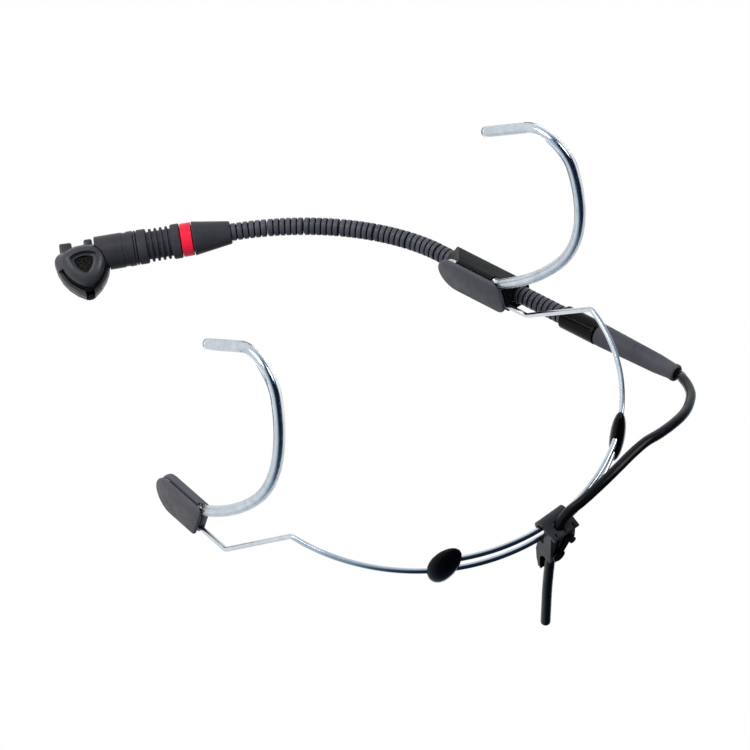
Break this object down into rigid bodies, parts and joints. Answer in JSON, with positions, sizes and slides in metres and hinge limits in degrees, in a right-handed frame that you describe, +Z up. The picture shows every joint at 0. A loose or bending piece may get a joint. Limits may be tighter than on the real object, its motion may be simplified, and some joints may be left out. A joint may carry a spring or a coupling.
{
  "type": "headset microphone",
  "caption": "Behind-the-neck headset microphone with wire ear hooks, adjustable steel band, bendable boom, ringed stem and caged capsule head.",
  "frame": {"origin": "centre of the neckband's circle, in the plane midway between its two wires, which is inside the wearer's head", "axes": "the wearer faces -Y, the wearer's left is +X, +Z is up; both band wires slide round the Z axis"},
  "size_m": [0.1317, 0.2036, 0.1168],
  "materials": {
    "steel": "polished stainless spring wire",
    "silicone": "clear soft silicone",
    "grey_plastic": "satin charcoal",
    "black_plastic": "satin black",
    "gloss_black": "polished black",
    "rubber": "soft matt dark grey",
    "neck_metal": "dark coating on wound metal",
    "red": "bright red satin",
    "foam": "open-cell foam, matt",
    "capsule_metal": "bare capsule can"
  },
  "bodies": {
    "right_half": {"wire_right": "steel", "ear_tube_right": "silicone", "pad_right_inner": "grey_plastic", "boom_clamp": "black_plastic", "bead_right": "gloss_black", "cable_run": "rubber"},
    "left_half": {"wire_left": "steel", "ear_tube_left": "silicone", "pad_left_inner": "grey_plastic", "pad_left_outer": "grey_plastic", "bead_left": "gloss_black"},
    "clip": {"clip_body": "black_plastic", "clip_pin": "black_plastic", "cable_tail": "rubber"},
    "clip_jaw": {"clip_jaw": "gloss_black"},
    "boom_grip": {"clamp_sleeve": "steel"},
    "boom": {"gooseneck_rear": "neck_metal", "ferrule": "gloss_black", "strain_relief": "rubber"},
    "neck_1": {"gooseneck_1": "neck_metal"},
    "neck_2": {"gooseneck_2": "neck_metal"},
    "neck_3": {"gooseneck_3": "neck_metal"},
    "neck_4": {"gooseneck_4": "neck_metal"},
    "neck_5": {"gooseneck_5": "neck_metal"},
    "mic": {"gooseneck_6": "neck_metal", "taper_sleeve": "grey_plastic", "red_ring": "red", "bellows": "rubber", "seal_ring": "black_plastic", "mic_barrel": "grey_plastic", "cage_rear": "grey_plastic", "cage_front": "grey_plastic", "foam_filter": "foam", "mic_capsule": "capsule_metal", "capsule_mount": "rubber"}
  },
  "joints": [
    {"name": "headband_adjust", "type": "hinge", "parent": "right_half", "child": "left_half", "pos_m": [0, 0, 0], "axis": [0, 0, 1], "range_deg": [-12, 8]},
    {"name": "clip_slide", "type": "hinge", "parent": "right_half", "child": "clip", "pos_m": [0, 0, 0], "axis": [0, 0, 1], "range_deg": [-8, 8], "deforming": ["cable_run"]},
    {"name": "clip_jaw_turn", "type": "hinge", "parent": "clip", "child": "clip_jaw", "pos_m": [-0.00013, 0.05602, -0.0015], "axis": [0.0262, 0.9997, 0], "range_deg": [0, 28]},
    {"name": "boom_swivel", "type": "hinge", "parent": "right_half", "child": "boom_grip", "pos_m": [-0.06106, -0.03671, -0.03494], "axis": [0.1195, -0.9708, -0.2078], "range_deg": [-35, 35]},
    {"name": "boom_slide", "type": "slide", "parent": "boom_grip", "child": "boom", "axis": [0.1195, -0.9708, -0.2078], "range_m": [0, 0.012]},
    {"name": "neck_bend", "type": "hinge", "parent": "boom", "child": "neck_1", "pos_m": [-0.05867, -0.05613, -0.03909], "axis": [-0.0412, -0.214, 0.976], "range_deg": [-6, 6]},
    {"name": "neck_bend_2", "type": "hinge", "parent": "neck_1", "child": "neck_2", "pos_m": [-0.05606, -0.06662, -0.04104], "axis": [-0.0412, -0.214, 0.976], "range_deg": [-6, 6]},
    {"name": "neck_bend_3", "type": "hinge", "parent": "neck_2", "child": "neck_3", "pos_m": [-0.05147, -0.07651, -0.04252], "axis": [-0.0412, -0.214, 0.976], "range_deg": [-6, 6]},
    {"name": "neck_bend_4", "type": "hinge", "parent": "neck_3", "child": "neck_4", "pos_m": [-0.04545, -0.08564, -0.04375], "axis": [-0.0412, -0.214, 0.976], "range_deg": [-6, 6]},
    {"name": "neck_bend_5", "type": "hinge", "parent": "neck_4", "child": "neck_5", "pos_m": [-0.03831, -0.09394, -0.04482], "axis": [-0.0412, -0.214, 0.976], "range_deg": [-6, 6]},
    {"name": "neck_bend_6", "type": "hinge", "parent": "neck_5", "child": "mic", "pos_m": [-0.03027, -0.10139, -0.04582], "axis": [-0.0412, -0.214, 0.976], "range_deg": [-6, 6]}
  ],
  "couplings": [
    {"joint": "neck_bend_2", "follows": "neck_bend", "ratio": 1},
    {"joint": "neck_bend_3", "follows": "neck_bend", "ratio": 1},
    {"joint": "neck_bend_4", "follows": "neck_bend", "ratio": 1},
    {"joint": "neck_bend_5", "follows": "neck_bend", "ratio": 1},
    {"joint": "neck_bend_6", "follows": "neck_bend", "ratio": 1}
  ]
}
